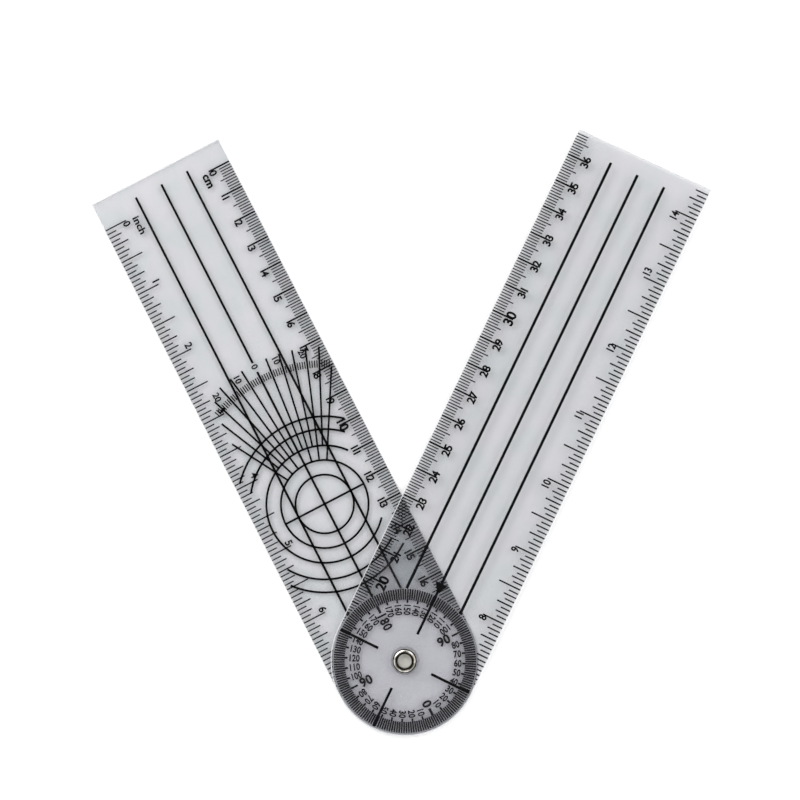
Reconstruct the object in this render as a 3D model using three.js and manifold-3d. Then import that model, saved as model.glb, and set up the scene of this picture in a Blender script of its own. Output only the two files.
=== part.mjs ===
// Two-arm ruler goniometer: two flat clear PVC arms, each round at one end,
// stacked face to face and joined through their round ends by one hollow metal eyelet.
// Millimetres, +Z up, arms flat on the XY plane. The origin is at the bottom centre of the
// bounding box, and the two arms open symmetrically about +Y.
//
// Each arm has its own frame: the pivot axis is its origin, +Y runs along the arm to its
// square end and +X runs across it. The printed scales are thin solids on each arm's top face.

import * as THREE from 'three';
import { mergeVertices } from 'three/addons/utils/BufferGeometryUtils.js';
import Module from 'manifold-3d';

const wasm = await Module();
wasm.setup();

// ---- Driving dimensions ------------------------------------------------------------

const ARM_WIDTH = 50;
const ARM_REACH = 190; // pivot axis to the square end
const ARM_THICKNESS = 1.2;
const ARM_CORNER_RADIUS = 0.6;
const OPENING_ANGLE = THREE.MathUtils.degToRad(53.2); // between the arms at rest
const ARM_GAP = 0.3; // air between the two arms, which the lower arm's print lies in

const BARREL_RADIUS = 2.75;
const BORE_RADIUS = 2.3;
const BARREL_CLEARANCE = 0.15;
const FLANGE_RADIUS = 4.05;
const FLANGE_HEIGHT = 0.55;
const FLANGE_EDGE_HEIGHT = 0.1; // the flange's straight outer edge, below the dome
const FLANGE_EDGE_BEVEL = 0.08;
const CREST_OFFSET = 0.35; // the dome's highest circle, outside the middle of the barrel's wall
const RIM_RADIUS = 3.9; // the rolled lower end of the eyelet
const RIM_HEIGHT = 0.26;
const RIM_RECESS = 0.05; // rim above the underside of the lower arm
const WASHER_RADIUS = 4.5;
const WASHER_THICKNESS = 0.2;
const COUNTERBORE_RADIUS = 4.8;
const SEAT_GAP = 0.02; // between pieces that lie on each other

const PRINT_THICKNESS = 0.08;
const PRINT_LIFT = 0.01;
const LINE_WIDTH = 0.45;
const THIN_LINE_WIDTH = 0.4;
const SPINE_WIDTH = 0.2; // joins the ticks of a scale along the arm's edge
const EDGE_MARGIN = 0.1; // from the arm's edge to the print

const GUIDE_SPACING = 10;
const GUIDE_TOP = 184.8;
const GUIDE_TOP_POINTER = 183.8;

const DIAL_OUTER = 24.1; // the degree scale, a ring around the pivot
const DIAL_INNER = 20.4;
const DIAL_TEN_INNER = 19.4;
const DIAL_QUADRANT_INNER = 17.9;
const DIAL_STEP = 5; // degrees between the ticks
const DIAL_TICK_WIDTH = 0.5;
const DIAL_CLEARANCE = 0.3; // from the dial to the prints around it

const CM_ZERO = 181.0; // protractor arm: the scale's 0, from the pivot
const CM_THIRTY_SIX = 180.3; // pointer arm: the scale's 36, from the pivot
const CM_STEP = 5;
const CM_LONG = 8.2;
const CM_MEDIUM = 5.9;
const INCH = 25.4;
const INCH_ZERO = 179.2; // protractor arm: the scale's 0, from the pivot
const INCH_FOURTEEN = 178.1; // pointer arm: the scale's 14, from the pivot
const INCH_LONG = 7.9;
const INCH_MEDIUM = 5.7;

const GAUGE_CENTRE = 59.5; // circle gauge and small protractor, from the pivot
const GAUGE_CIRCLES = [10, 15]; // radii of the whole circles
const GAUGE_ARCS = [ // radius, then both ends in degrees, counter-clockwise from +X
  [20, 39, 319.5],
  [25.6, 47, 144.5],
  [25.6, 213, 306],
  [30, 50, 139.5],
  [30, 220, 306.5],
];
const GAUGE_CROSS_LINE = 15; // half the length of the line across the circles
const GAUGE_RAY_STEP = 5; // degrees
const GAUGE_RAY_LIMIT = 30; // degrees to each side
const GAUGE_RAY_START_TEN = 15; // inner end of every second ray
const GAUGE_RAY_START_FIVE = 20;
const GAUGE_RAY_END = 54.1;
const GAUGE_HALF_WIDTH = 16.4; // the gauge stays clear of the scales along both edges
const GAUGE_GAP_BOTTOM = 110.6; // the middle line stops around the small protractor's 0
const GAUGE_GAP_TOP = 114.0;

const INDEX_INNER = 9.9; // inner end of the pointer's cross lines
const INDEX_OUTER = 24.1;
const ARROW_TIP = 25.2;
const ARROW_BASE = 28.8;
const ARROW_WIDTH = 4.6;

const ROUND_SEGMENTS = 96; // per full turn
const LINE_SEGMENTS = 60;
const CORNER_SEGMENTS = 4; // per quarter turn
const EYELET_SEGMENTS = 40;

// ---- Heights ---------------------------------------------------------------------

const LOWER_TOP = ARM_THICKNESS;
const UPPER_BOTTOM = LOWER_TOP + ARM_GAP;
const UPPER_TOP = UPPER_BOTTOM + ARM_THICKNESS;
const RIM_TOP = RIM_RECESS + RIM_HEIGHT;
const WASHER_BOTTOM = RIM_TOP + SEAT_GAP;
const COUNTERBORE_DEPTH = WASHER_BOTTOM + WASHER_THICKNESS + SEAT_GAP;
const FLANGE_BOTTOM = UPPER_TOP + SEAT_GAP;

// ---- Materials -------------------------------------------------------------------

const clearPvc = new THREE.MeshStandardMaterial({
  color: 0xc9ccd0, roughness: 0.18, metalness: 0, transparent: true, opacity: 0.4,
});
const nickel = new THREE.MeshStandardMaterial({ color: 0xc8c4b8, roughness: 0.25, metalness: 1 });
const blackInk = new THREE.MeshStandardMaterial({ color: 0x0b0b0d, roughness: 0.55, metalness: 0 });

// ---- Solid helpers -----------------------------------------------------------------

function toManifold(geometry) {
  const bare = geometry.clone();
  bare.deleteAttribute('normal');
  bare.deleteAttribute('uv');
  const merged = mergeVertices(bare, 1e-5);
  return new wasm.Manifold(new wasm.Mesh({
    numProp: 3,
    vertProperties: new Float32Array(merged.attributes.position.array),
    triVerts: new Uint32Array(merged.index.array),
  }));
}

function toGeometry(solid) {
  const mesh = solid.getMesh();
  const geometry = new THREE.BufferGeometry();
  const positions = new Float32Array(mesh.vertProperties);
  geometry.setAttribute('position', new THREE.BufferAttribute(positions, 3));
  geometry.setIndex(new THREE.BufferAttribute(new Uint32Array(mesh.triVerts), 1));
  geometry.computeVertexNormals();
  return geometry;
}

function joinAll(geometries) {
  let joined = toManifold(geometries[0]);
  for (const geometry of geometries.slice(1)) joined = joined.add(toManifold(geometry));
  return joined;
}

function arcPoints(centreX, centreY, radius, from, to, steps) {
  const points = [];
  for (let step = 0; step <= steps; step += 1) {
    const angle = from + ((to - from) * step) / steps;
    const x = centreX + radius * Math.cos(angle);
    const y = centreY + radius * Math.sin(angle);
    points.push(new THREE.Vector2(x, y));
  }
  return points;
}

function circlePoints(centreX, centreY, radius, segments) {
  return arcPoints(centreX, centreY, radius, 0, 2 * Math.PI, segments).slice(1);
}

function disc(radius, height) {
  const geometry = new THREE.CylinderGeometry(radius, radius, height, ROUND_SEGMENTS);
  geometry.rotateX(Math.PI / 2);
  return geometry;
}

// ---- Print helpers: thin solids that stand on z = 0 ------------------------------------

function bar(x0, x1, y0, y1) {
  const geometry = new THREE.BoxGeometry(Math.abs(x1 - x0), Math.abs(y1 - y0), PRINT_THICKNESS);
  geometry.translate((x0 + x1) / 2, (y0 + y1) / 2, PRINT_THICKNESS / 2);
  return geometry;
}

// A straight line that points away from a centre: angle is measured from +Y towards +X.
function ray(centreY, angle, inner, outer, width) {
  const geometry = bar(-width / 2, width / 2, inner, outer);
  geometry.rotateZ(-angle);
  geometry.translate(0, centreY, 0);
  return geometry;
}

// A curved line about (0, centreY), from one angle to another, counter-clockwise from +X.
function arcLine(centreY, radius, fromDegrees, toDegrees, width) {
  const from = THREE.MathUtils.degToRad(fromDegrees);
  const to = THREE.MathUtils.degToRad(toDegrees);
  const steps = Math.ceil((LINE_SEGMENTS * (to - from)) / (2 * Math.PI));
  const outer = arcPoints(0, centreY, radius + width / 2, from, to, steps);
  const inner = arcPoints(0, centreY, radius - width / 2, to, from, steps);
  return printed(new THREE.Shape([...outer, ...inner]));
}

function circleLine(centreY, radius, width) {
  const outline = new THREE.Shape(circlePoints(0, centreY, radius + width / 2, LINE_SEGMENTS));
  outline.holes.push(new THREE.Path(circlePoints(0, centreY, radius - width / 2, LINE_SEGMENTS)));
  return printed(outline);
}

function printed(shape) {
  return new THREE.ExtrudeGeometry(shape, { depth: PRINT_THICKNESS, bevelEnabled: false });
}

function clearOfDial(solid) {
  const keepOut = toManifold(disc(DIAL_OUTER + DIAL_CLEARANCE, 4 * PRINT_THICKNESS));
  return solid.subtract(keepOut);
}

// Ticks along one edge of an arm, joined by a narrow spine. side is +1 or -1, the edge in
// the arm's own X. A tick beside the dial is cut short where it would meet it.
function edgeScale(side, ticks) {
  const edge = ARM_WIDTH / 2 - EDGE_MARGIN;
  const spine = edge - SPINE_WIDTH;
  const points = [];
  for (const tick of ticks) {
    const low = tick.at - LINE_WIDTH / 2;
    const high = tick.at + LINE_WIDTH / 2;
    const tip = Math.max(edge - tick.length, besideDial(low));
    points.push([spine, high], [tip, high], [tip, low], [spine, low]);
  }
  points.push([edge, points.at(-1)[1]], [edge, points[0][1]]);
  return printed(new THREE.Shape(points.map(([x, y]) => new THREE.Vector2(side * x, y))));
}

function besideDial(height) {
  const radius = DIAL_OUTER + DIAL_CLEARANCE;
  return height < radius ? Math.sqrt(radius ** 2 - height ** 2) : 0;
}

// Every second tick is a long one. The scale is counted from `origin` towards the pivot.
function scaleTicks(origin, top, step, longLength, mediumLength) {
  const ticks = [];
  const above = Math.floor((top - origin) / step);
  const lowest = ARM_WIDTH / 5; // nearer the pivot the dial leaves no room for a tick
  for (let index = -above; origin - index * step > lowest; index += 1) {
    ticks.push({ at: origin - index * step, length: index % 2 === 0 ? longLength : mediumLength });
  }
  return ticks;
}

// ---- Arms and eyelet -----------------------------------------------------------------

function armGeometry() {
  const half = ARM_WIDTH / 2;
  const corner = ARM_CORNER_RADIUS;
  const outline = new THREE.Shape([
    ...arcPoints(0, 0, half, Math.PI, 2 * Math.PI, ROUND_SEGMENTS / 2),
    ...arcPoints(half - corner, ARM_REACH - corner, corner, 0, Math.PI / 2, CORNER_SEGMENTS),
    ...arcPoints(corner - half, ARM_REACH - corner, corner, Math.PI / 2, Math.PI, CORNER_SEGMENTS),
  ]);
  const hole = circlePoints(0, 0, BARREL_RADIUS + BARREL_CLEARANCE, EYELET_SEGMENTS);
  outline.holes.push(new THREE.Path(hole));
  return new THREE.ExtrudeGeometry(outline, { depth: ARM_THICKNESS, bevelEnabled: false });
}

// The lower arm has a shallow seat underneath for the washer and the rolled rim.
function lowerArmGeometry() {
  const seat = disc(COUNTERBORE_RADIUS, 2 * COUNTERBORE_DEPTH);
  return toGeometry(toManifold(armGeometry()).subtract(toManifold(seat)));
}

// Barrel, domed flange on top and rolled rim underneath, turned from one closed profile.
function eyeletGeometry() {
  const profile = new THREE.Path();
  const roll = RIM_HEIGHT / 2;
  const crest = FLANGE_BOTTOM + FLANGE_HEIGHT;
  const crestRadius = (BORE_RADIUS + BARREL_RADIUS) / 2 + CREST_OFFSET;
  profile.moveTo(BORE_RADIUS, RIM_TOP + RIM_HEIGHT);
  profile.quadraticCurveTo(BORE_RADIUS, RIM_RECESS, BARREL_RADIUS + roll, RIM_RECESS);
  profile.lineTo(RIM_RADIUS - roll, RIM_RECESS);
  profile.absarc(RIM_RADIUS - roll, RIM_RECESS + roll, roll, -Math.PI / 2, Math.PI / 2, false);
  profile.lineTo(BARREL_RADIUS, RIM_TOP);
  profile.lineTo(BARREL_RADIUS, FLANGE_BOTTOM);
  profile.lineTo(FLANGE_RADIUS - FLANGE_EDGE_BEVEL, FLANGE_BOTTOM);
  profile.lineTo(FLANGE_RADIUS, FLANGE_BOTTOM + FLANGE_EDGE_HEIGHT);
  profile.quadraticCurveTo(FLANGE_RADIUS, crest, crestRadius, crest);
  profile.quadraticCurveTo(BORE_RADIUS, crest, BORE_RADIUS, FLANGE_BOTTOM);
  profile.closePath();
  return turned(profile.getPoints(3));
}

function washerGeometry() {
  const inner = BARREL_RADIUS + BARREL_CLEARANCE;
  const top = WASHER_BOTTOM + WASHER_THICKNESS;
  const section = [
    [inner, WASHER_BOTTOM], [WASHER_RADIUS, WASHER_BOTTOM], [WASHER_RADIUS, top],
    [inner, top], [inner, WASHER_BOTTOM],
  ];
  return turned(section.map(([radius, height]) => new THREE.Vector2(radius, height)));
}

function turned(points) {
  const geometry = new THREE.LatheGeometry(points, EYELET_SEGMENTS);
  geometry.rotateX(Math.PI / 2);
  return geometry;
}

// ---- Prints of the protractor arm ------------------------------------------------------

// One contour of the dial: a circle with a tooth at each tick, from the circle to the tip.
function toothedCircle(baseRadius, tipRadiusAt) {
  const points = [];
  for (let degrees = 0; degrees < 360; degrees += DIAL_STEP) {
    const tip = tipRadiusAt(degrees);
    for (const [radius, side] of [[baseRadius, -1], [tip, -1], [tip, 1], [baseRadius, 1]]) {
      const middle = Math.PI / 2 + THREE.MathUtils.degToRad(degrees);
      const angle = middle + (side * DIAL_TICK_WIDTH) / (2 * radius);
      points.push(new THREE.Vector2(radius * Math.cos(angle), radius * Math.sin(angle)));
    }
  }
  return points;
}

function dialTickInner(degrees) {
  if (degrees % 90 === 0) return DIAL_QUADRANT_INNER;
  return degrees % 10 === 0 ? DIAL_TEN_INNER : DIAL_INNER;
}

function dialGeometry() {
  const middle = (DIAL_INNER + DIAL_OUTER) / 2;
  const outline = new THREE.Shape(toothedCircle(middle + SPINE_WIDTH / 2, () => DIAL_OUTER));
  outline.holes.push(new THREE.Path(toothedCircle(middle - SPINE_WIDTH / 2, dialTickInner)));
  return printed(outline);
}

function gaugeRays() {
  const pieces = [];
  for (let degrees = -GAUGE_RAY_LIMIT; degrees <= GAUGE_RAY_LIMIT; degrees += GAUGE_RAY_STEP) {
    if (degrees !== 0) {
      const angle = THREE.MathUtils.degToRad(degrees);
      const inner = degrees % 10 === 0 ? GAUGE_RAY_START_TEN : GAUGE_RAY_START_FIVE;
      pieces.push(ray(GAUGE_CENTRE, angle, inner, GAUGE_RAY_END, THIN_LINE_WIDTH));
    }
  }
  return pieces;
}

// Guide lines, concentric circles and the small protractor's rays all cross each other,
// so they are one print.
function gaugeGeometry() {
  const half = LINE_WIDTH / 2;
  const centre = GAUGE_CENTRE;
  const width = THIN_LINE_WIDTH;
  const pieces = [
    bar(-half, half, 0, GAUGE_GAP_BOTTOM),
    bar(-GUIDE_SPACING - half, half - GUIDE_SPACING, 0, GUIDE_TOP),
    bar(GUIDE_SPACING - half, GUIDE_SPACING + half, 0, GUIDE_TOP),
    bar(-GAUGE_CROSS_LINE, GAUGE_CROSS_LINE, centre - width / 2, centre + width / 2),
    ...GAUGE_CIRCLES.map((radius) => circleLine(centre, radius, width)),
    ...GAUGE_ARCS.map(([radius, from, to]) => arcLine(centre, radius, from, to, width)),
    ...gaugeRays(),
  ];
  const field = toManifold(bar(-GAUGE_HALF_WIDTH, GAUGE_HALF_WIDTH, 0, GUIDE_TOP));
  return toGeometry(clearOfDial(joinAll(pieces).intersect(field)));
}

function upperGuideGeometry() {
  return bar(-LINE_WIDTH / 2, LINE_WIDTH / 2, GAUGE_GAP_TOP, GUIDE_TOP);
}

// ---- Prints of the pointer arm -------------------------------------------------------

function arrowGeometry() {
  return printed(new THREE.Shape([
    new THREE.Vector2(0, ARROW_TIP),
    new THREE.Vector2(ARROW_WIDTH / 2, ARROW_BASE),
    new THREE.Vector2(-ARROW_WIDTH / 2, ARROW_BASE),
  ]));
}

// The middle guide line, the arrow and the line that is read against the dial.
function indexGeometry() {
  const line = bar(-LINE_WIDTH / 2, LINE_WIDTH / 2, INDEX_INNER, GUIDE_TOP_POINTER);
  return toGeometry(joinAll([line, arrowGeometry()]));
}

function crossLineGeometry(quarterTurns) {
  return ray(0, (quarterTurns * Math.PI) / 2, INDEX_INNER, INDEX_OUTER, LINE_WIDTH);
}

function pointerGuideGeometry(side) {
  const centre = side * GUIDE_SPACING;
  const start = Math.sqrt(DIAL_OUTER ** 2 - GUIDE_SPACING ** 2) + DIAL_CLEARANCE;
  return bar(centre - LINE_WIDTH / 2, centre + LINE_WIDTH / 2, start, GUIDE_TOP_POINTER);
}

// ---- Assembly ----------------------------------------------------------------------

// The arms' highest points are on the rounded corners at their square ends.
const half = OPENING_ANGLE / 2;
const cornerX = ARM_WIDTH / 2 - ARM_CORNER_RADIUS;
const cornerY = ARM_REACH - ARM_CORNER_RADIUS;
const highestY = cornerY * Math.cos(half) + cornerX * Math.sin(half) + ARM_CORNER_RADIUS;
const lowestY = -ARM_WIDTH / 2;
const PIVOT_Y = -(highestY + lowestY) / 2;

const goniometer = new THREE.Group();
const protractorSide = new THREE.Group();
const pointerSide = new THREE.Group();
const pivot = new THREE.Group();
for (const group of [protractorSide, pointerSide, pivot]) {
  group.position.set(0, PIVOT_Y, 0);
  goniometer.add(group);
}
protractorSide.rotation.z = half;
pointerSide.rotation.z = -half;

function place(group, name, geometry, material, height = 0) {
  const mesh = new THREE.Mesh(geometry, material);
  mesh.name = name;
  mesh.position.z = height;
  group.add(mesh);
}

place(protractorSide, 'protractor_arm', lowerArmGeometry(), clearPvc);
place(pointerSide, 'pointer_arm', armGeometry(), clearPvc, UPPER_BOTTOM);
place(pivot, 'pivot_eyelet', eyeletGeometry(), nickel);
place(pivot, 'eyelet_washer', washerGeometry(), nickel);

const lowerPrint = LOWER_TOP + PRINT_LIFT;
const upperPrint = UPPER_TOP + PRINT_LIFT;
const cmTicks = scaleTicks(CM_ZERO, CM_ZERO, CM_STEP, CM_LONG, CM_MEDIUM);
const cmTicksPointer = scaleTicks(CM_THIRTY_SIX, ARM_REACH - 1, CM_STEP, CM_LONG, CM_MEDIUM);
const inchTicks = scaleTicks(INCH_ZERO, INCH_ZERO, INCH / 4, INCH_LONG, INCH_MEDIUM);
const inchTicksPointer = scaleTicks(INCH_FOURTEEN, ARM_REACH - 1, INCH / 4, INCH_LONG, INCH_MEDIUM);

place(protractorSide, 'dial_degree_print', dialGeometry(), blackInk, lowerPrint);
place(protractorSide, 'circle_and_angle_gauge_print', gaugeGeometry(), blackInk, lowerPrint);
place(protractorSide, 'middle_guide_line_print', upperGuideGeometry(), blackInk, lowerPrint);
place(protractorSide, 'protractor_arm_cm_print', edgeScale(1, cmTicks), blackInk, lowerPrint);
place(protractorSide, 'protractor_arm_inch_print', edgeScale(-1, inchTicks), blackInk, lowerPrint);

place(pointerSide, 'index_line_and_arrow_print', indexGeometry(), blackInk, upperPrint);
place(pointerSide, 'cross_line_right_print', crossLineGeometry(1), blackInk, upperPrint);
place(pointerSide, 'cross_line_tail_print', crossLineGeometry(2), blackInk, upperPrint);
place(pointerSide, 'cross_line_left_print', crossLineGeometry(3), blackInk, upperPrint);
place(pointerSide, 'left_guide_line_print', pointerGuideGeometry(-1), blackInk, upperPrint);
place(pointerSide, 'right_guide_line_print', pointerGuideGeometry(1), blackInk, upperPrint);
place(pointerSide, 'pointer_arm_cm_print', edgeScale(-1, cmTicksPointer), blackInk, upperPrint);
place(pointerSide, 'pointer_arm_inch_print', edgeScale(1, inchTicksPointer), blackInk, upperPrint);

export default goniometer;
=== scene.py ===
"""Two-arm ruler goniometer, opened to a V on a white table top.

Every visible piece is built here at the CAD's size and place: two clear PVC sheets with
rounded cut edges, the ink printed on each of them, and the nickel eyelet with its washer.
The ink is modelled as one thin solid for each printed feature, with all of its marks and
figures. Lengths are in millimetres until a mesh is made.
"""

import math
from collections import namedtuple

import bmesh
import bpy
from mathutils import Matrix, Vector


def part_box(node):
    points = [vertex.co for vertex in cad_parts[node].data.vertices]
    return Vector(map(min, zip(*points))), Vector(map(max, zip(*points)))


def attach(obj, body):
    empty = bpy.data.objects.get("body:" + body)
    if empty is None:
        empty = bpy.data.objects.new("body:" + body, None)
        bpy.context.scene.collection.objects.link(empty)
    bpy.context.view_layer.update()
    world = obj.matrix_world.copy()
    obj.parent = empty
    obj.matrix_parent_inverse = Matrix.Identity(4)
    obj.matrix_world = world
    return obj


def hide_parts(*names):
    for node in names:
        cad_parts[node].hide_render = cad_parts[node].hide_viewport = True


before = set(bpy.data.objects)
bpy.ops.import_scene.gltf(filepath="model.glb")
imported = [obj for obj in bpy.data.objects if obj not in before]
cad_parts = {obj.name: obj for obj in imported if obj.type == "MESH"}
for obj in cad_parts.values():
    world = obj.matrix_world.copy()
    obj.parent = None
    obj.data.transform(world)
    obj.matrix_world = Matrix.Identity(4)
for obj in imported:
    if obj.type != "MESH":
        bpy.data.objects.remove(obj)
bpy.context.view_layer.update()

MM = 0.001

# ---- Dimensions ----------------------------------------------------------------------

# The sheets, the eyelet and the washer are as in the CAD. The print is finer than there:
# it is thinner, it keeps further from the arm's edge, and it has every tick and figure.

ARM_WIDTH = 50.0
ARM_REACH = 190.0  # pivot axis to the square end
ARM_THICKNESS = 1.2
ARM_CORNER_RADIUS = 0.6
OPENING_ANGLE = 53.2  # degrees between the arms at rest
HALF_OPENING = math.radians(OPENING_ANGLE / 2)
ARM_GAP = 0.3  # air between the two arms
LOWER_TOP = ARM_THICKNESS
UPPER_BOTTOM = LOWER_TOP + ARM_GAP
UPPER_TOP = UPPER_BOTTOM + ARM_THICKNESS

EYELET_LOW, EYELET_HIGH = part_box("pivot_eyelet")
WASHER_LOW, WASHER_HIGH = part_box("eyelet_washer")
PIVOT_Y = (EYELET_LOW[1] + EYELET_HIGH[1]) / 2 / MM
EYELET_TOP = EYELET_HIGH[2] / MM
WASHER_BOTTOM = WASHER_LOW[2] / MM
WASHER_TOP = WASHER_HIGH[2] / MM

ARM_BORE = 2.9  # radius of the hole in each arm
BORE_CHAMFER = 0.08
COUNTERBORE_RADIUS = 4.8
COUNTERBORE_DEPTH = 0.55
BARREL_RADIUS = 2.75
EYELET_BORE = 2.3
FLANGE_SEAT = UPPER_TOP + 0.02
WASHER_BORE = 2.9
WASHER_RADIUS = 4.5

INK_LIFT = 0.01
INK_THICKNESS = 0.04
EDGE_MARGIN = 0.28  # from the arm's edge to its ticks

GUIDE_SPACING = 10.0
GUIDE_TOP = 184.8
GUIDE_TOP_POINTER = 183.8

DIAL_STEP = 2  # degrees
DIAL_OUTER = 24.1
DIAL_INNER = 20.4
DIAL_TEN_INNER = 19.4
DIAL_QUADRANT_INNER = 17.9
DIAL_CLEARANCE = 0.3  # from the dial to the prints around it
DIAL_OVERLAP = 0.1  # of the inner part of a long tick with its outer part
DIAL_SMALL_FIGURES = 19.2  # radius at which the small figures end
DIAL_LARGE_FIGURES = 14.8  # radius of the middle of 180 and of each 90
DIAL_ZERO = 16.2

CM_ZERO = 181.0  # protractor arm, from the pivot
CM_THIRTY_SIX = 180.3  # pointer arm
INCH = 25.4
INCH_ZERO = 179.2
INCH_FOURTEEN = 178.1
SCALE_TOP_POINTER = 188.4  # both of the pointer arm's scales run on past their last number
SCALE_BOTTOM = 2.0

GAUGE_CENTRE = 59.5  # circle gauge and small protractor, from the pivot
GAUGE_CROSS_LINE = 15.0  # half the length of the line across the circles
GAUGE_RAY_STARTS = (15.0, 20.0)  # every 10 degrees, and between those
GAUGE_RAY_END = 54.1
GAUGE_RAY_LIMIT = 30  # degrees to each side
GAUGE_GAP = (110.6, 114.0)  # the middle line stops around the small protractor's 0
SMALL_PROTRACTOR = (46.9, 49.4)  # inner and outer end of its ticks

INDEX_INNER = 9.9
INDEX_OUTER = 24.1
ARROW_TIP = 25.2
ARROW_BASE = 28.8
ARROW_WIDTH = 4.6
ARROW_OVERLAP = 1.0  # of the index line with the arrow

# ---- Line weights and type -----------------------------------------------------------

GUIDE_WEIGHT = 0.8
POINTER_GUIDE_WEIGHT = 0.98
GAUGE_WEIGHT = 0.72
RAY_WEIGHT = 0.66
SMALL_PROTRACTOR_WEIGHT = 0.4
INDEX_WEIGHT = 0.9
FINE_TICK = 0.39
MIDDLE_TICK = 0.42
LONG_TICK = 0.64
DIAL_TICK = 0.54
DIAL_TEN_TICK = 0.65
REGULAR = 0.03  # how far a figure's outline is moved out, as a share of the type size
BOLD = 0.036

# pitch is the distance between figures, and stretch makes each of them wider.
Type = namedtuple("Type", "height pitch weight stretch", defaults=(0.0, REGULAR, 1.0))


# ---- Mesh helpers --------------------------------------------------------------------


def polar(radius, degrees, centre=0.0):
    """A point at an angle from +Y, clockwise as seen from above, about (0, centre)."""
    angle = math.radians(degrees)
    return (radius * math.sin(angle), centre + radius * math.cos(angle))


def arc_points(cx, cy, radius, start, end, steps):
    """Points on an arc, with angles in degrees counter-clockwise from +X."""
    turn = [math.radians(start + (end - start) * i / steps) for i in range(steps + 1)]
    return [(cx + radius * math.cos(a), cy + radius * math.sin(a)) for a in turn]


def rounded(points, times=3):
    """A closed outline with its corners cut again and again until they are round."""
    for _ in range(times):
        cut = []
        for (x0, y0), (x1, y1) in zip(points, points[1:] + points[:1]):
            cut.append((0.75 * x0 + 0.25 * x1, 0.75 * y0 + 0.25 * y1))
            cut.append((0.25 * x0 + 0.75 * x1, 0.25 * y0 + 0.75 * y1))
        points = cut
    return points


def as_object(name, mesh, turn=0.0):
    """Puts a mesh made about the pivot in its place, turned about the pivot axis."""
    mesh.transform(Matrix.Translation((0, PIVOT_Y * MM, 0)) @ Matrix.Rotation(turn, 4, "Z"))
    piece = bpy.data.objects.new(name, mesh)
    bpy.context.scene.collection.objects.link(piece)
    return piece


def mesh_from(bm, name):
    bmesh.ops.recalc_face_normals(bm, faces=bm.faces)
    mesh = bpy.data.meshes.new(name)
    bm.to_mesh(mesh)
    bm.free()
    return mesh


def add_loop(bm, points, height):
    return [bm.verts.new((x * MM, y * MM, height * MM)) for x, y in points]


def skin(bm, loops, closed=False):
    """Quads between each loop of vertices and the next."""
    pairs = list(zip(loops, loops[1:]))
    if closed:
        pairs.append((loops[-1], loops[0]))
    made = []
    for low, high in pairs:
        for i in range(len(low)):
            j = (i + 1) % len(low)
            made.append(bm.faces.new((low[i], low[j], high[j], high[i])))
    for face in made:
        face.smooth = True
    return made


def edges_round(bm, loop):
    return [bm.edges.get((loop[i], loop[(i + 1) % len(loop)])) for i in range(len(loop))]


# ---- Clear sheets --------------------------------------------------------------------

EDGE_ROUNDING = 0.25
EDGE_STEPS = 4
ROUND_STEPS = 120
BORE_STEPS = 64


def edge_profile(bottom, top):
    """(distance drawn in, height) from the underside, round the cut edge, to the top."""
    quarter = [math.radians(90 * i / EDGE_STEPS) for i in range(EDGE_STEPS + 1)]
    rise = [(EDGE_ROUNDING * (1 - math.sin(a)), EDGE_ROUNDING * (1 - math.cos(a))) for a in quarter]
    return [(d, bottom + h) for d, h in rise] + [(d, top - h) for d, h in reversed(rise)]


def arm_outline(inset):
    half = ARM_WIDTH / 2
    corner = ARM_CORNER_RADIUS
    x, y = half - corner, ARM_REACH - corner
    return (
        arc_points(0, 0, half - inset, 180, 360, ROUND_STEPS)
        + arc_points(x, y, corner - inset, 0, 90, 6)
        + arc_points(-x, y, corner - inset, 90, 180, 6)
    )


def arm_sheet(name, bottom, bore, turn):
    """One arm. bore lists (radius, height) down the hole's wall from the top face."""
    bm = bmesh.new()
    top = bottom + ARM_THICKNESS
    outer = [add_loop(bm, arm_outline(d), z) for d, z in edge_profile(bottom, top)]
    inner = [add_loop(bm, arc_points(0, 0, r, 0, 360, BORE_STEPS)[:-1], z) for r, z in bore]
    walls = skin(bm, outer) + skin(bm, inner)
    for rim, hole in ((outer[0], inner[-1]), (outer[-1], inner[0])):
        edges = edges_round(bm, rim) + edges_round(bm, hole)
        bmesh.ops.triangle_fill(bm, use_beauty=True, edges=edges)
    for face in walls:
        face.material_index = 1
    return as_object(name, mesh_from(bm, name), turn)


LOWER_BORE = [
    (ARM_BORE + BORE_CHAMFER, LOWER_TOP),
    (ARM_BORE, LOWER_TOP - BORE_CHAMFER),
    (ARM_BORE, COUNTERBORE_DEPTH),
    (COUNTERBORE_RADIUS, COUNTERBORE_DEPTH),
    (COUNTERBORE_RADIUS, BORE_CHAMFER),
    (COUNTERBORE_RADIUS + BORE_CHAMFER, 0.0),
]
UPPER_BORE = [
    (ARM_BORE + BORE_CHAMFER, UPPER_TOP),
    (ARM_BORE, UPPER_TOP - BORE_CHAMFER),
    (ARM_BORE, UPPER_BOTTOM + BORE_CHAMFER),
    (ARM_BORE + BORE_CHAMFER, UPPER_BOTTOM),
]


# ---- Ink -----------------------------------------------------------------------------

GLYPHS = {}


def glyph(text, weight):
    """The vertices and faces of some text at type size 1, centred across, and 1 unit thick."""
    if (text, weight) not in GLYPHS:
        curve = bpy.data.curves.new("glyph", "FONT")
        curve.body = text
        curve.extrude = 0.5
        curve.offset = weight
        curve.resolution_u = 3
        holder = bpy.data.objects.new("glyph", curve)
        mesh = bpy.data.meshes.new_from_object(holder)
        xs = [v.co.x for v in mesh.vertices]
        middle = (min(xs) + max(xs)) / 2
        points = [(v.co.x - middle, v.co.y, v.co.z + 0.5) for v in mesh.vertices]
        faces = [tuple(p.vertices) for p in mesh.polygons]
        GLYPHS[text, weight] = points, faces
        bpy.data.meshes.remove(mesh)
        bpy.data.objects.remove(holder)
        bpy.data.curves.remove(curve)
    return GLYPHS[text, weight]


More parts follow.
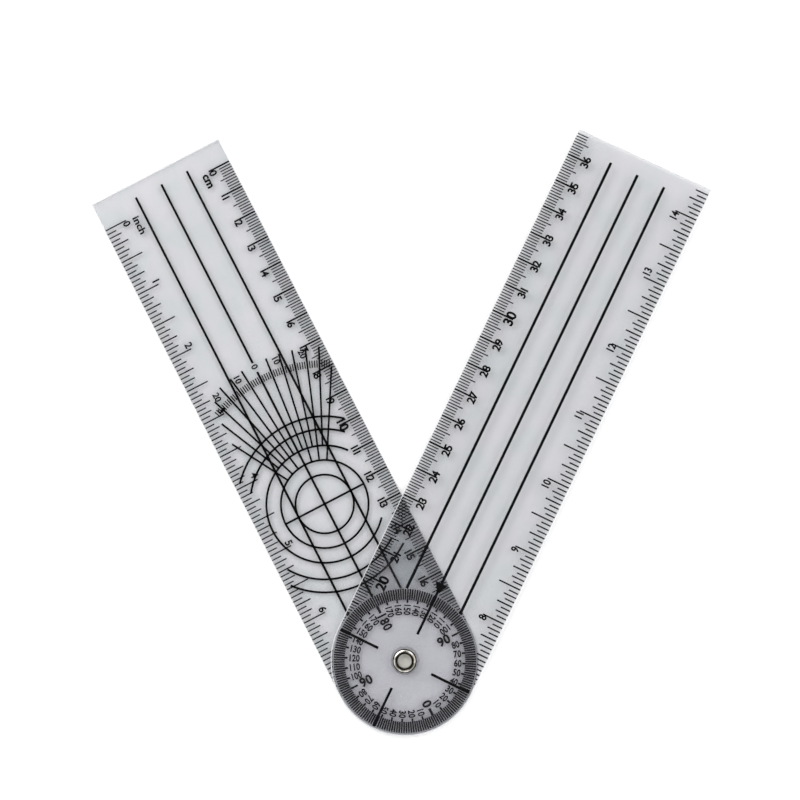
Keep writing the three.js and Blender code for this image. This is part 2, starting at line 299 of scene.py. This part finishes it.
def cap_height():
    """The lowest and the highest point of a figure at type size 1."""
    ys = [y for _, y, _ in glyph("0", 0.0)[0]]
    return min(ys), max(ys)


class Ink:
    """Marks of one printed feature, in the frame of the arm that it is printed on."""

    def __init__(self):
        self.points = []
        self.faces = []

    def strip(self, left, right, closed=False):
        """A solid band between two rows of points."""
        start, count = len(self.points), len(left)
        for z in (0, 1):
            self.points += [(x, y, z) for x, y in left]
            self.points += [(x, y, z) for x, y in right]
        low_l, low_r, top_l, top_r = (start + k * count for k in range(4))
        for i in range(count if closed else count - 1):
            j = (i + 1) % count
            self.faces.append((top_l + i, top_r + i, top_r + j, top_l + j))
            self.faces.append((low_l + i, low_l + j, low_r + j, low_r + i))
            self.faces.append((low_l + i, top_l + i, top_l + j, low_l + j))
            self.faces.append((low_r + i, low_r + j, top_r + j, top_r + i))
        if not closed:
            end = count - 1
            self.faces.append((low_l, low_r, top_r, top_l))
            self.faces.append((low_l + end, top_l + end, top_r + end, low_r + end))

    def line(self, start, end, width):
        along = (Vector(end) - Vector(start)).normalized() * width / 2
        side = Vector((-along.y, along.x))
        rows = [[tuple(Vector(p) + s * side) for p in (start, end)] for s in (1, -1)]
        self.strip(*rows)

    def across(self, x0, x1, y, width):
        self.line((x0, y), (x1, y), width)

    def radial(self, degrees, inner, outer, width, centre=0.0):
        self.line(polar(inner, degrees, centre), polar(outer, degrees, centre), width)

    def arc(self, centre, radius, start, end, width):
        """Angles in degrees, counter-clockwise from +X, about (0, centre)."""
        steps = max(8, round(abs(end - start) / 3))
        radii = [radius + s * width / 2 for s in (1, -1)]
        rows = [arc_points(0, centre, r, start, end, steps) for r in radii]
        closed = abs(end - start) == 360
        self.strip(*[row[:-1] if closed else row for row in rows], closed=closed)

    def triangle(self, a, b, c):
        self.strip([a, a], [b, c])

    def write(self, text, at, towards, style):
        """Text centred on a point. towards is the direction in which it reads."""
        points, faces = glyph(text, style.weight)
        low, high = cap_height()
        size = style.height / (high - low)
        start = len(self.points)
        (dx, dy), (cx, cy) = towards, at
        for x, y, z in points:
            along, up = x * size * style.stretch, (y - (low + high) / 2) * size
            self.points.append((cx + dx * along - dy * up, cy + dy * along + dx * up, z))
        self.faces += [tuple(start + i for i in face) for face in faces]

    def figures(self, text, at, towards, style):
        """A number with evenly spaced figures, centred on a point."""
        (dx, dy), (cx, cy) = towards, at
        for i, figure in enumerate(text):
            step = (i - (len(text) - 1) / 2) * style.pitch
            centre = (cx + dx * step, cy + dy * step)
            self.write(figure, centre, towards, style)

    def build(self, name, arm_top, turn):
        low = arm_top + INK_LIFT
        points = [(x * MM, y * MM, (low + z * INK_THICKNESS) * MM) for x, y, z in self.points]
        mesh = bpy.data.meshes.new(name)
        mesh.from_pydata(points, [], self.faces)
        mesh.update()
        return as_object(name, mesh, turn)


def beside_dial(y):
    """How far out from the arm's middle a tick at this height has to stay."""
    radius = DIAL_OUTER + DIAL_CLEARANCE
    return math.sqrt(max(0.0, radius**2 - y**2))


SHORTEST_TICK = 0.2


def edge_tick(ink, side, y, length, width):
    """A tick from an arm's edge inwards, cut short where it would reach the dial."""
    edge = ARM_WIDTH / 2 - EDGE_MARGIN
    tip = max(edge - length, beside_dial(y))
    if edge - tip > SHORTEST_TICK:
        ink.across(side * edge, side * tip, y, width)


def cm_ticks(ink, side, origin, top, lengths, weight):
    """Millimetre ticks counted from origin. lengths: 1, 5 and 10 mm."""
    first = -math.floor(top - origin)
    for i in range(first, math.ceil(origin - SCALE_BOTTOM)):
        rank = 2 if i % 10 == 0 else 1 if i % 5 == 0 else 0
        width = (FINE_TICK, MIDDLE_TICK, LONG_TICK)[rank]
        edge_tick(ink, side, origin - i, lengths[rank], width * weight)


def inch_ticks(ink, side, origin, top, lengths, weight):
    """Ticks of a sixteenth counted from origin. lengths: 1/16, 1/8, 1/4 and 1/2 inch."""
    step = INCH / 16
    first = -math.floor((top - origin) / step)
    for i in range(first, math.floor((origin - SCALE_BOTTOM) / step) + 1):
        rank = 3 if i % 8 == 0 else 2 if i % 4 == 0 else 1 if i % 2 == 0 else 0
        width = MIDDLE_TICK if i % 4 == 0 else FINE_TICK
        edge_tick(ink, side, origin - i * step, lengths[rank], width * weight)


TO_PIVOT = (0, -1)
FROM_PIVOT = (0, 1)


def protractor_cm():
    """Single figures stand a little past their tick, and the others in line with it."""
    ink = Ink()
    column = 17.85
    plain = Type(2.65, 2.1)
    ten = Type(3.1, 2.4, BOLD)
    unit = Type(2.75, weight=BOLD, stretch=1.1)
    cm_ticks(ink, 1, CM_ZERO, CM_ZERO, lengths=(4.37, 5.87, 8.05), weight=0.93)
    for number in range(17):
        tick = CM_ZERO - 10 * number
        if number < 10:
            ink.figures(str(number), (column, tick - 1.2), TO_PIVOT, plain)
        elif number == 10:
            ink.figures("10", (column + 0.05, tick), TO_PIVOT, ten)
        else:
            ink.figures(str(number), (column, tick), TO_PIVOT, plain)
    ink.write("cm", (15.3, 178.1), TO_PIVOT, unit)
    return ink


def protractor_inch():
    ink = Ink()
    inch_ticks(ink, -1, INCH_ZERO, INCH_ZERO, lengths=(3.4, 4.7, 5.8, 8.1), weight=1.1)
    centres = {"0": 178.0, "1": 155.3, "2": 129.9, "3": 104.4, "4": 79.4, "5": 53.4, "6": 28.1}
    for figure, y in centres.items():
        ink.write(figure, (-16.95, y), TO_PIVOT, Type(2.5))
    ink.write("inch", (-13.2, 175.5), TO_PIVOT, Type(2.4, stretch=1.2))
    return ink


def dial_number(ink, number, side):
    """One of the small figures. Up to 80 it reads away from the pivot, and then towards it."""
    style = Type(2.2, 1.3, BOLD, 0.8)
    text = str(number)
    angle = 180 + side * number  # 0 lies away from the arm, 180 along it
    out = polar(1, angle)
    towards = (-out[0], -out[1]) if number > 90 else out
    middle = DIAL_SMALL_FIGURES - style.pitch * len(text) / 2
    ink.figures(text, polar(middle, angle), towards, style)


def dial():
    ink = Ink()
    for degrees in range(0, 360, DIAL_STEP):
        ink.radial(degrees, DIAL_INNER, DIAL_OUTER, DIAL_TICK)
    for degrees in range(0, 360, 10):
        inner = DIAL_QUADRANT_INNER if degrees % 90 == 0 else DIAL_TEN_INNER
        width = INDEX_WEIGHT if degrees % 180 == 0 else DIAL_TEN_TICK
        ink.radial(degrees, inner, DIAL_INNER + DIAL_OVERLAP, width)
    for number in range(10, 180, 10):
        if number != 90:
            dial_number(ink, number, 1)
            dial_number(ink, number, -1)
    large = Type(3.0, 2.2, BOLD)
    down = polar(1, 180)
    ink.figures("180", polar(DIAL_LARGE_FIGURES, 0), down, Type(3.1, 2.1, BOLD, 0.85))
    ink.figures("90", polar(DIAL_LARGE_FIGURES, 270), polar(-1, 270), large)
    ink.figures("90", polar(DIAL_LARGE_FIGURES, 90), polar(1, 90), large)
    ink.figures("0", polar(DIAL_ZERO, 180), down, large)
    return ink


GAUGE_ARCS = [  # radius, then both ends in degrees, counter-clockwise from +X
    (10, 0, 360),
    (15, 0, 360),
    (20, 39, 319.5),
    (25.6, 47, 144.5),
    (25.6, 213, 306),
    (30, 50, 139.5),
    (30, 220, 306.5),
]
CUT_RAYS = {-30: 38.0, -25: 45.0, -20: 51.8, 30: 47.3}  # ends of those that meet a scale
GAUGE_LABELS = [  # text and its centre, measured from the gauge's centre
    ("20", -16.3, 49.7),
    ("10", -7.2, 52.0),
    ("0", 0.0, 53.1),
    ("10", 7.6, 51.8),
    ("20", 16.6, 49.4),
]


def gauge():
    ink = Ink()
    centre = GAUGE_CENTRE
    ink.line((0, DIAL_OUTER), (0, GAUGE_GAP[0]), GUIDE_WEIGHT)
    for side in (-1, 1):
        x = side * GUIDE_SPACING
        start = math.sqrt(DIAL_OUTER**2 - x**2) + DIAL_CLEARANCE
        ink.line((x, start), (x, GUIDE_TOP), GUIDE_WEIGHT)
    ink.across(-GAUGE_CROSS_LINE, GAUGE_CROSS_LINE, centre, GAUGE_WEIGHT)
    for radius, start, end in GAUGE_ARCS:
        ink.arc(centre, radius, start, end, GAUGE_WEIGHT)
    for degrees in range(-GAUGE_RAY_LIMIT, GAUGE_RAY_LIMIT + 1, 5):
        if degrees:
            inner = GAUGE_RAY_STARTS[0 if degrees % 10 == 0 else 1]
            outer = CUT_RAYS.get(degrees, GAUGE_RAY_END)
            ink.radial(degrees, inner, outer, RAY_WEIGHT, centre)
    for degrees in range(-23, 30):
        ink.radial(degrees, *SMALL_PROTRACTOR, SMALL_PROTRACTOR_WEIGHT, centre)
    for text, x, y in GAUGE_LABELS:
        ink.figures(text, (x, centre + y), TO_PIVOT, Type(2.2, 1.5))
    return ink


def upper_middle_line():
    ink = Ink()
    ink.line((0, GAUGE_GAP[1]), (0, GUIDE_TOP), GUIDE_WEIGHT)
    return ink


def pointer_cm():
    ink = Ink()
    plain = Type(2.7, 2.1, BOLD)
    ten = Type(3.3, 2.5, BOLD)
    lengths = (4.0, 5.45, 7.8)
    cm_ticks(ink, -1, CM_THIRTY_SIX, SCALE_TOP_POINTER, lengths, weight=0.97)
    for number in range(20, 37):
        tick = CM_THIRTY_SIX - 10 * (36 - number)
        if number % 10 == 0:
            ink.figures(str(number), (-18.1, tick - 0.2), FROM_PIVOT, ten)
        else:
            ink.figures(str(number), (-17.9, tick - 0.15), FROM_PIVOT, plain)
    return ink


def pointer_inch():
    ink = Ink()
    lengths = (3.45, 4.6, 5.6, 7.85)
    inch_ticks(ink, 1, INCH_FOURTEEN, SCALE_TOP_POINTER, lengths, weight=1.25)
    centres = {14: 176.3, 13: 154.8, 12: 125.8, 11: 100.4, 10: 74.4, 9: 50.0, 8: 24.7}
    for number, y in centres.items():
        ink.figures(str(number), (17.25, y), FROM_PIVOT, Type(2.6, 1.5, BOLD, 0.85))
    return ink


def index_and_arrow():
    ink = Ink()
    ink.line((0, INDEX_INNER), (0, ARROW_TIP + ARROW_OVERLAP), INDEX_WEIGHT)
    ink.triangle((0, ARROW_TIP), (-ARROW_WIDTH / 2, ARROW_BASE), (ARROW_WIDTH / 2, ARROW_BASE))
    ink.line((0, ARROW_BASE), (0, GUIDE_TOP_POINTER), POINTER_GUIDE_WEIGHT)
    return ink


def cross_line(degrees):
    ink = Ink()
    ink.radial(degrees, INDEX_INNER, INDEX_OUTER, INDEX_WEIGHT)
    return ink


def pointer_guide(side):
    ink = Ink()
    x = side * GUIDE_SPACING
    start = math.sqrt(DIAL_OUTER**2 - x**2) + DIAL_CLEARANCE
    ink.line((x, start), (x, GUIDE_TOP_POINTER), POINTER_GUIDE_WEIGHT)
    return ink


# ---- Eyelet and washer ---------------------------------------------------------------

TURNED_STEPS = 96


def turned(name, section):
    """A solid turned about the pivot axis from a closed section of (radius, height)."""
    bm = bmesh.new()
    loops = [add_loop(bm, arc_points(0, 0, r, 0, 360, TURNED_STEPS)[:-1], z) for r, z in section]
    skin(bm, loops, closed=True)
    return as_object(name, mesh_from(bm, name))


EYELET_SECTION = [
    (BARREL_RADIUS, 0.32),
    (BARREL_RADIUS, 1.4),
    (BARREL_RADIUS, FLANGE_SEAT),
    (3.4, FLANGE_SEAT),
    (4.0, FLANGE_SEAT),
    (4.07, FLANGE_SEAT + 0.07),
    (4.02, EYELET_TOP - 0.34),
    (3.7, EYELET_TOP - 0.16),
    (3.3, EYELET_TOP - 0.02),
    (2.85, EYELET_TOP + 0.03),
    (2.45, EYELET_TOP - 0.02),
    (EYELET_BORE, EYELET_TOP - 0.3),
    (EYELET_BORE, EYELET_TOP - 0.8),
    (EYELET_BORE, 1.6),
    (EYELET_BORE, 0.7),
    (2.4, 0.28),
    (2.8, 0.04),
    (3.4, 0.05),
    (3.9, 0.06),
    (3.92, 0.3),
    (3.3, 0.31),
]
WASHER_SECTION = [
    (WASHER_BORE, WASHER_BOTTOM),
    (3.6, WASHER_BOTTOM),
    (WASHER_RADIUS, WASHER_BOTTOM),
    (WASHER_RADIUS, WASHER_TOP),
    (3.6, WASHER_TOP),
    (WASHER_BORE, WASHER_TOP),
]


# ---- Materials -----------------------------------------------------------------------


class Nodes:
    """A material's node tree. Its patterns lie in the frame of an arm turned about the pivot."""

    def __init__(self, name, turn=0.0):
        self.material = bpy.data.materials.new(name)
        self.material.use_nodes = True
        self.tree = self.material.node_tree
        self.tree.nodes.clear()
        self.output = self.add("ShaderNodeOutputMaterial")
        row = self.add("ShaderNodeTexCoord").outputs["Object"]
        arm = {"Vector": row, "Location": (0, PIVOT_Y * MM, 0), "Rotation": (0, 0, turn)}
        self.place = self.add("ShaderNodeMapping", arm, vector_type="TEXTURE").outputs["Vector"]

    def add(self, kind, inputs=None, **settings):
        node = self.tree.nodes.new(kind)
        for key, value in settings.items():
            setattr(node, key, value)
        for key, value in (inputs or {}).items():
            socket = node.inputs[key]
            if isinstance(value, bpy.types.NodeSocket):
                self.tree.links.new(value, socket)
            else:
                socket.default_value = value
        return node

    def show(self, shader):
        self.tree.links.new(shader, self.output.inputs["Surface"])
        return self.material

    def noise(self, scale, detail=3.0, roughness=0.5, stretch=(1, 1, 1)):
        """Noise whose grain may be drawn out along an axis of the arm."""
        moved = self.add("ShaderNodeMapping", {"Vector": self.place, "Scale": stretch})
        settings = {"Scale": scale, "Detail": detail, "Roughness": roughness}
        settings["Vector"] = moved.outputs["Vector"]
        return self.add("ShaderNodeTexNoise", settings).outputs["Fac"]

    def between(self, value, low, high, out_low, out_high):
        inputs = {"Value": value, "From Min": low, "From Max": high}
        inputs.update({"To Min": out_low, "To Max": out_high})
        return self.add("ShaderNodeMapRange", inputs).outputs["Result"]

    def blend(self, factor, a, b):
        node = self.add("ShaderNodeMix", data_type="RGBA")
        for index, value in ((0, factor), (6, a), (7, b)):
            if isinstance(value, bpy.types.NodeSocket):
                self.tree.links.new(value, node.inputs[index])
            else:
                node.inputs[index].default_value = value
        return node.outputs[2]

    def bump(self, height, strength, distance):
        inputs = {"Height": height, "Strength": strength, "Distance": distance}
        return self.add("ShaderNodeBump", inputs).outputs["Normal"]


HEAD_ON_MIRROR = 0.042  # share of light that a face of the PVC mirrors when it is met head-on
CLEAR_ZONE = (18 * MM, 27 * MM)  # from the pivot, where the clearer film there fades out


def clear_sheet(name, turn, warm, cool, middle, haze, cover):
    """See-through PVC: faintly clouded film, a little haze in it, and gloss over slow waves.

    The film is warm and cool in patches, and nears the middle colour around the pivot. cover
    is the least share of the surface that is haze.
    """
    n = Nodes(name, turn)
    cloud = n.noise(scale=95.0, detail=5.0, roughness=0.65)
    speck = n.noise(scale=1500.0, detail=2.0)
    scuff = n.noise(scale=900.0, detail=2.0, roughness=0.6, stretch=(1, 0.06, 1))
    mottled = n.blend(n.between(cloud, 0.38, 0.62, 0.0, 1.0), (*warm, 1), (*cool, 1))
    away = n.add("ShaderNodeVectorMath", {0: n.place}, operation="LENGTH").outputs["Value"]
    near = n.between(away, *CLEAR_ZONE, 0.85, 0.0)
    film = n.blend(near, mottled, (*middle, 1))
    clear = n.add("ShaderNodeBsdfTransparent", {"Color": film})
    milk = n.add(
        "ShaderNodeBsdfPrincipled",
        {
            "Base Color": n.blend(speck, (*[c * 0.9 for c in haze], 1), (*haze, 1)),
            "Roughness": 0.6,
            "Specular IOR Level": 0.0,
        },
    )
    amount = n.between(speck, 0.55, 0.8, cover, cover + 0.06)
    body = n.add("ShaderNodeMixShader", {0: amount, 1: clear.outputs[0], 2: milk.outputs[0]})
    waves = n.noise(scale=45.0, detail=2.0, roughness=0.4)
    relief = n.bump(waves, strength=0.3, distance=0.4 * MM)
    mirror = n.add(
        "ShaderNodeBsdfAnisotropic",
        {"Roughness": n.between(scuff, 0.3, 0.7, 0.08, 0.2), "Normal": relief},
    )
    facing = n.add("ShaderNodeLayerWeight", {"Blend": 0.5, "Normal": relief}).outputs["Facing"]
    steep = n.add("ShaderNodeMath", {0: facing, 1: 5.0}, operation="POWER").outputs[0]
    grazing = n.between(steep, 0.0, 1.0, HEAD_ON_MIRROR, 1.0)
    mix = n.add("ShaderNodeMixShader", {0: grazing, 1: body.outputs[0], 2: mirror.outputs[0]})
    return n.show(mix.outputs[0])


INK_SHADES = [(0.0005, 0.0005, 0.0006, 1), (0.004, 0.004, 0.005, 1)]


def black_ink():
    n = Nodes("screen printed ink")
    grain = n.noise(scale=1600.0, detail=2.0, roughness=0.6)
    patchy = n.between(grain, 0.35, 0.7, 0.0, 1.0)
    shade = n.blend(patchy, *INK_SHADES)
    inputs = {"Base Color": shade, "Roughness": n.between(grain, 0.3, 0.7, 0.5, 0.68)}
    inputs["Specular IOR Level"] = 0.06
    inputs["Normal"] = n.bump(grain, strength=0.1, distance=0.02 * MM)
    return n.show(n.add("ShaderNodeBsdfPrincipled", inputs).outputs[0])


NICKEL_SHADES = [(0.34, 0.32, 0.27, 1), (0.84, 0.82, 0.77, 1)]
# Grime and painted shade: the colour of the dark rings in the nickel's crevices, where dirt sits
# and shade falls.
GRIME_AND_PAINTED_SHADE = (0.02, 0.018, 0.015, 1)
BARE_BRASS = (0.5, 0.485, 0.38, 1)
BARE_EDGE = 0.08


def nickel(name, grime_and_shade_radii, bare_radius):
    """Polished nickel with turning marks, and dark rings of grime and painted shade that set in
    from a bright to a dark radius, at the crevices where shade falls.

    Within bare_radius it has the colour of bare brass.
    """
    n = Nodes(name)
    flat = n.add("ShaderNodeVectorMath", {0: n.place, 1: (1, 1, 0)}, operation="MULTIPLY")
    length = n.add("ShaderNodeVectorMath", {0: flat.outputs[0]}, operation="LENGTH")
    radius = length.outputs["Value"]
    turning = {"W": radius, "Scale": 9000.0, "Detail": 2.0}
    ripple = n.add("ShaderNodeTexNoise", turning, noise_dimensions="1D")
    blotch = n.noise(scale=420.0, roughness=0.6)
    worn = n.between(blotch, 0.4, 0.6, 0.0, 1.0)
    shade = n.blend(worn, *NICKEL_SHADES)
    for bright_radius, dark_radius in grime_and_shade_radii:
        # Each ring darkens towards its dark radius: grime and painted shade.
        grime_and_shade = n.between(radius, bright_radius * MM, dark_radius * MM, 0.0, 1.0)
        shade = n.blend(grime_and_shade, shade, GRIME_AND_PAINTED_SHADE)
    bare = n.between(radius, (bare_radius + BARE_EDGE) * MM, bare_radius * MM, 0.0, 1.0)
    inputs = {
        "Base Color": n.blend(bare, shade, BARE_BRASS),
        "Metallic": 1.0,
        "Roughness": n.between(blotch, 0.3, 0.7, 0.16, 0.3),
        "Normal": n.bump(ripple.outputs["Fac"], strength=0.12, distance=0.03 * MM),
    }
    return n.show(n.add("ShaderNodeBsdfPrincipled", inputs).outputs[0])


TABLE_SHADES = [(0.93, 0.93, 0.93, 1), (0.95, 0.95, 0.95, 1)]


def table_top():
    n = Nodes("white table")
    grain = n.noise(scale=60.0, detail=4.0)
    shade = n.blend(grain, *TABLE_SHADES)
    inputs = {"Base Color": shade, "Roughness": 0.9, "Specular IOR Level": 0.1}
    return n.show(n.add("ShaderNodeBsdfPrincipled", inputs).outputs[0])


# ---- Assembly ------------------------------------------------------------------------

Side = namedtuple("Side", "body turn top")
PROTRACTOR = Side("protractor_side", HALF_OPENING, LOWER_TOP)
POINTER = Side("pointer_side", -HALF_OPENING, UPPER_TOP)

FILM_WARM = (0.907, 0.903, 0.914)
FILM_COOL = (0.885, 0.895, 0.901)
FILM_MIDDLE = (0.946, 0.945, 0.955)
FILM_HAZE = (0.7, 0.7, 0.74)
FILM_COVER = 0.006
EDGE_WARM = (0.95, 0.95, 0.96)
EDGE_COOL = (0.94, 0.945, 0.95)
EDGE_HAZE = (0.95, 0.955, 0.96)
EDGE_COVER = 0.5
# Painted shade: the pointer arm's film is made a little darker than the protractor arm's, though
# both are the same PVC.
POINTER_PAINTED_SHADE = 0.994


def sheet_materials(arm, turn, shade):
    """The faces and the cut edge of one arm. shade darkens its film a little: painted shade, so
    that one copy of the same PVC is darker than the other.
    """
    film = [tuple(c * shade for c in colour) for colour in (FILM_WARM, FILM_COOL, FILM_MIDDLE)]
    edge = [EDGE_WARM, EDGE_COOL, EDGE_COOL]
    return [
        clear_sheet(f"clear pvc {arm} face", turn, *film, FILM_HAZE, FILM_COVER),
        clear_sheet(f"clear pvc {arm} cut edge", turn, *edge, EDGE_HAZE, EDGE_COVER),
    ]


ink_black = black_ink()


def add_piece(piece, body, nodes, materials):
    for material in materials:
        piece.data.materials.append(material)
    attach(piece, body)
    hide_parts(*nodes)


def add_sheet(name, node, bottom, bore, side, shade):
    piece = arm_sheet(name, bottom, bore, side.turn)
    add_piece(piece, side.body, [node], sheet_materials(name, side.turn, shade))


def add_turned(name, node, section, grime_and_shade_radii, bare_radius):
    finish = nickel(f"nickel {name}", grime_and_shade_radii, bare_radius)
    add_piece(turned(name, section), PROTRACTOR.body, [node], [finish])


def add_ink(node, ink, side):
    piece = ink.build(node.replace("_print", "_ink"), side.top, side.turn)
    add_piece(piece, side.body, [node], [ink_black])


add_sheet("protractor_sheet", "protractor_arm", 0.0, LOWER_BORE, PROTRACTOR, 1.0)
# The pointer sheet's film is darkened a little as painted shade.
add_sheet("pointer_sheet", "pointer_arm", UPPER_BOTTOM, UPPER_BORE, POINTER, POINTER_PAINTED_SHADE)

# Dark rings where the eyelet rolls into the hole and where its flange meets the sheet: grime and
# painted shade.
eyelet_grime_and_shade = [(3.0, 2.88), (3.6, 3.74)]
add_turned("eyelet", "pivot_eyelet", rounded(EYELET_SECTION), eyelet_grime_and_shade, EYELET_BORE + 0.02)
# The washer's outer edge darkens as well: grime and painted shade.
washer_grime_and_shade = [(4.3, WASHER_RADIUS)]
add_turned("washer", "eyelet_washer", rounded(WASHER_SECTION, 2), washer_grime_and_shade, WASHER_BORE)

add_ink("dial_degree_print", dial(), PROTRACTOR)
add_ink("circle_and_angle_gauge_print", gauge(), PROTRACTOR)
add_ink("middle_guide_line_print", upper_middle_line(), PROTRACTOR)
add_ink("protractor_arm_cm_print", protractor_cm(), PROTRACTOR)
add_ink("protractor_arm_inch_print", protractor_inch(), PROTRACTOR)

add_ink("index_line_and_arrow_print", index_and_arrow(), POINTER)
add_ink("cross_line_right_print", cross_line(90), POINTER)
add_ink("cross_line_tail_print", cross_line(180), POINTER)
add_ink("cross_line_left_print", cross_line(270), POINTER)
add_ink("left_guide_line_print", pointer_guide(-1), POINTER)
add_ink("right_guide_line_print", pointer_guide(1), POINTER)
add_ink("pointer_arm_cm_print", pointer_cm(), POINTER)
add_ink("pointer_arm_inch_print", pointer_inch(), POINTER)

# ---- Table, light and camera ---------------------------------------------------------

TABLE_RADIUS = 4.0
TABLE_GAP = 0.05 * MM  # keeps the table clear of the lower arm's underside

bm = bmesh.new()
bmesh.ops.create_circle(bm, cap_ends=True, segments=64, radius=TABLE_RADIUS)
table = bpy.data.objects.new("table", mesh_from(bm, "table"))
bpy.context.scene.collection.objects.link(table)
table.location.z = -TABLE_GAP
table.data.materials.append(table_top())


def soft_light(name, place, size, watts):
    """A square soft box that faces the middle of the object. place and size are in metres."""
    lamp = bpy.data.lights.new(name, "AREA")
    lamp.size = size
    lamp.energy = watts
    holder = bpy.data.objects.new(name, lamp)
    bpy.context.scene.collection.objects.link(holder)
    holder.location = place
    holder.rotation_euler = (-Vector(place)).to_track_quat("-Z", "Y").to_euler()


soft_light("key", (-0.9, 0.9, 1.6), 1.2, 14.0)
soft_light("fill", (1.1, 0.3, 1.5), 1.4, 8.0)

TENT_OPENING = 0.06  # strength of its light
TENT_WALL = 1.19
TENT_OPENING_EDGE = 21.0  # degrees from straight above
TENT_WALL_EDGE = 38.0


def studio_tent():
    """A white tent all round, with a dark opening straight above for the camera."""
    world = bpy.data.worlds.new("studio")
    bpy.context.scene.world = world
    world.use_nodes = True
    nodes, links = world.node_tree.nodes, world.node_tree.links
    split = nodes.new("ShaderNodeSeparateXYZ")
    links.new(nodes.new("ShaderNodeTexCoord").outputs["Generated"], split.inputs[0])
    ramp = nodes.new("ShaderNodeMapRange")
    ramp.inputs["From Min"].default_value = math.cos(math.radians(TENT_OPENING_EDGE))
    ramp.inputs["From Max"].default_value = math.cos(math.radians(TENT_WALL_EDGE))
    ramp.inputs["To Min"].default_value = TENT_OPENING
    ramp.inputs["To Max"].default_value = TENT_WALL
    links.new(split.outputs["Z"], ramp.inputs["Value"])
    links.new(ramp.outputs["Result"], nodes["Background"].inputs["Strength"])
    nodes["Background"].inputs["Color"].default_value = (1, 1, 1, 1)


studio_tent()

CAMERA_PLACE = Vector((21.25, PIVOT_Y + 46.35, 521.6)) * MM
CAMERA_FORWARD = Vector((-0.0415, 0.0804, -0.9959)).normalized()
CAMERA_UP = Vector((0.0169, 0.9967, 0.0797))
CAMERA_LENS = 68.65
CAMERA_SENSOR = 36.0

camera = bpy.data.objects.new("camera", bpy.data.cameras.new("camera"))
bpy.context.scene.collection.objects.link(camera)
right = CAMERA_FORWARD.cross(CAMERA_UP).normalized()
up = right.cross(CAMERA_FORWARD)
facing = Matrix((right, up, -CAMERA_FORWARD)).transposed().to_4x4()
camera.matrix_world = Matrix.Translation(CAMERA_PLACE) @ facing
camera.data.lens = CAMERA_LENS
camera.data.sensor_width = CAMERA_SENSOR
camera.data.clip_start = 0.01
bpy.context.scene.camera = camera

bpy.context.scene.view_settings.view_transform = "Standard"
bpy.context.scene.cycles.transparent_max_bounces = 32  # well above what a ray meets in both sheets
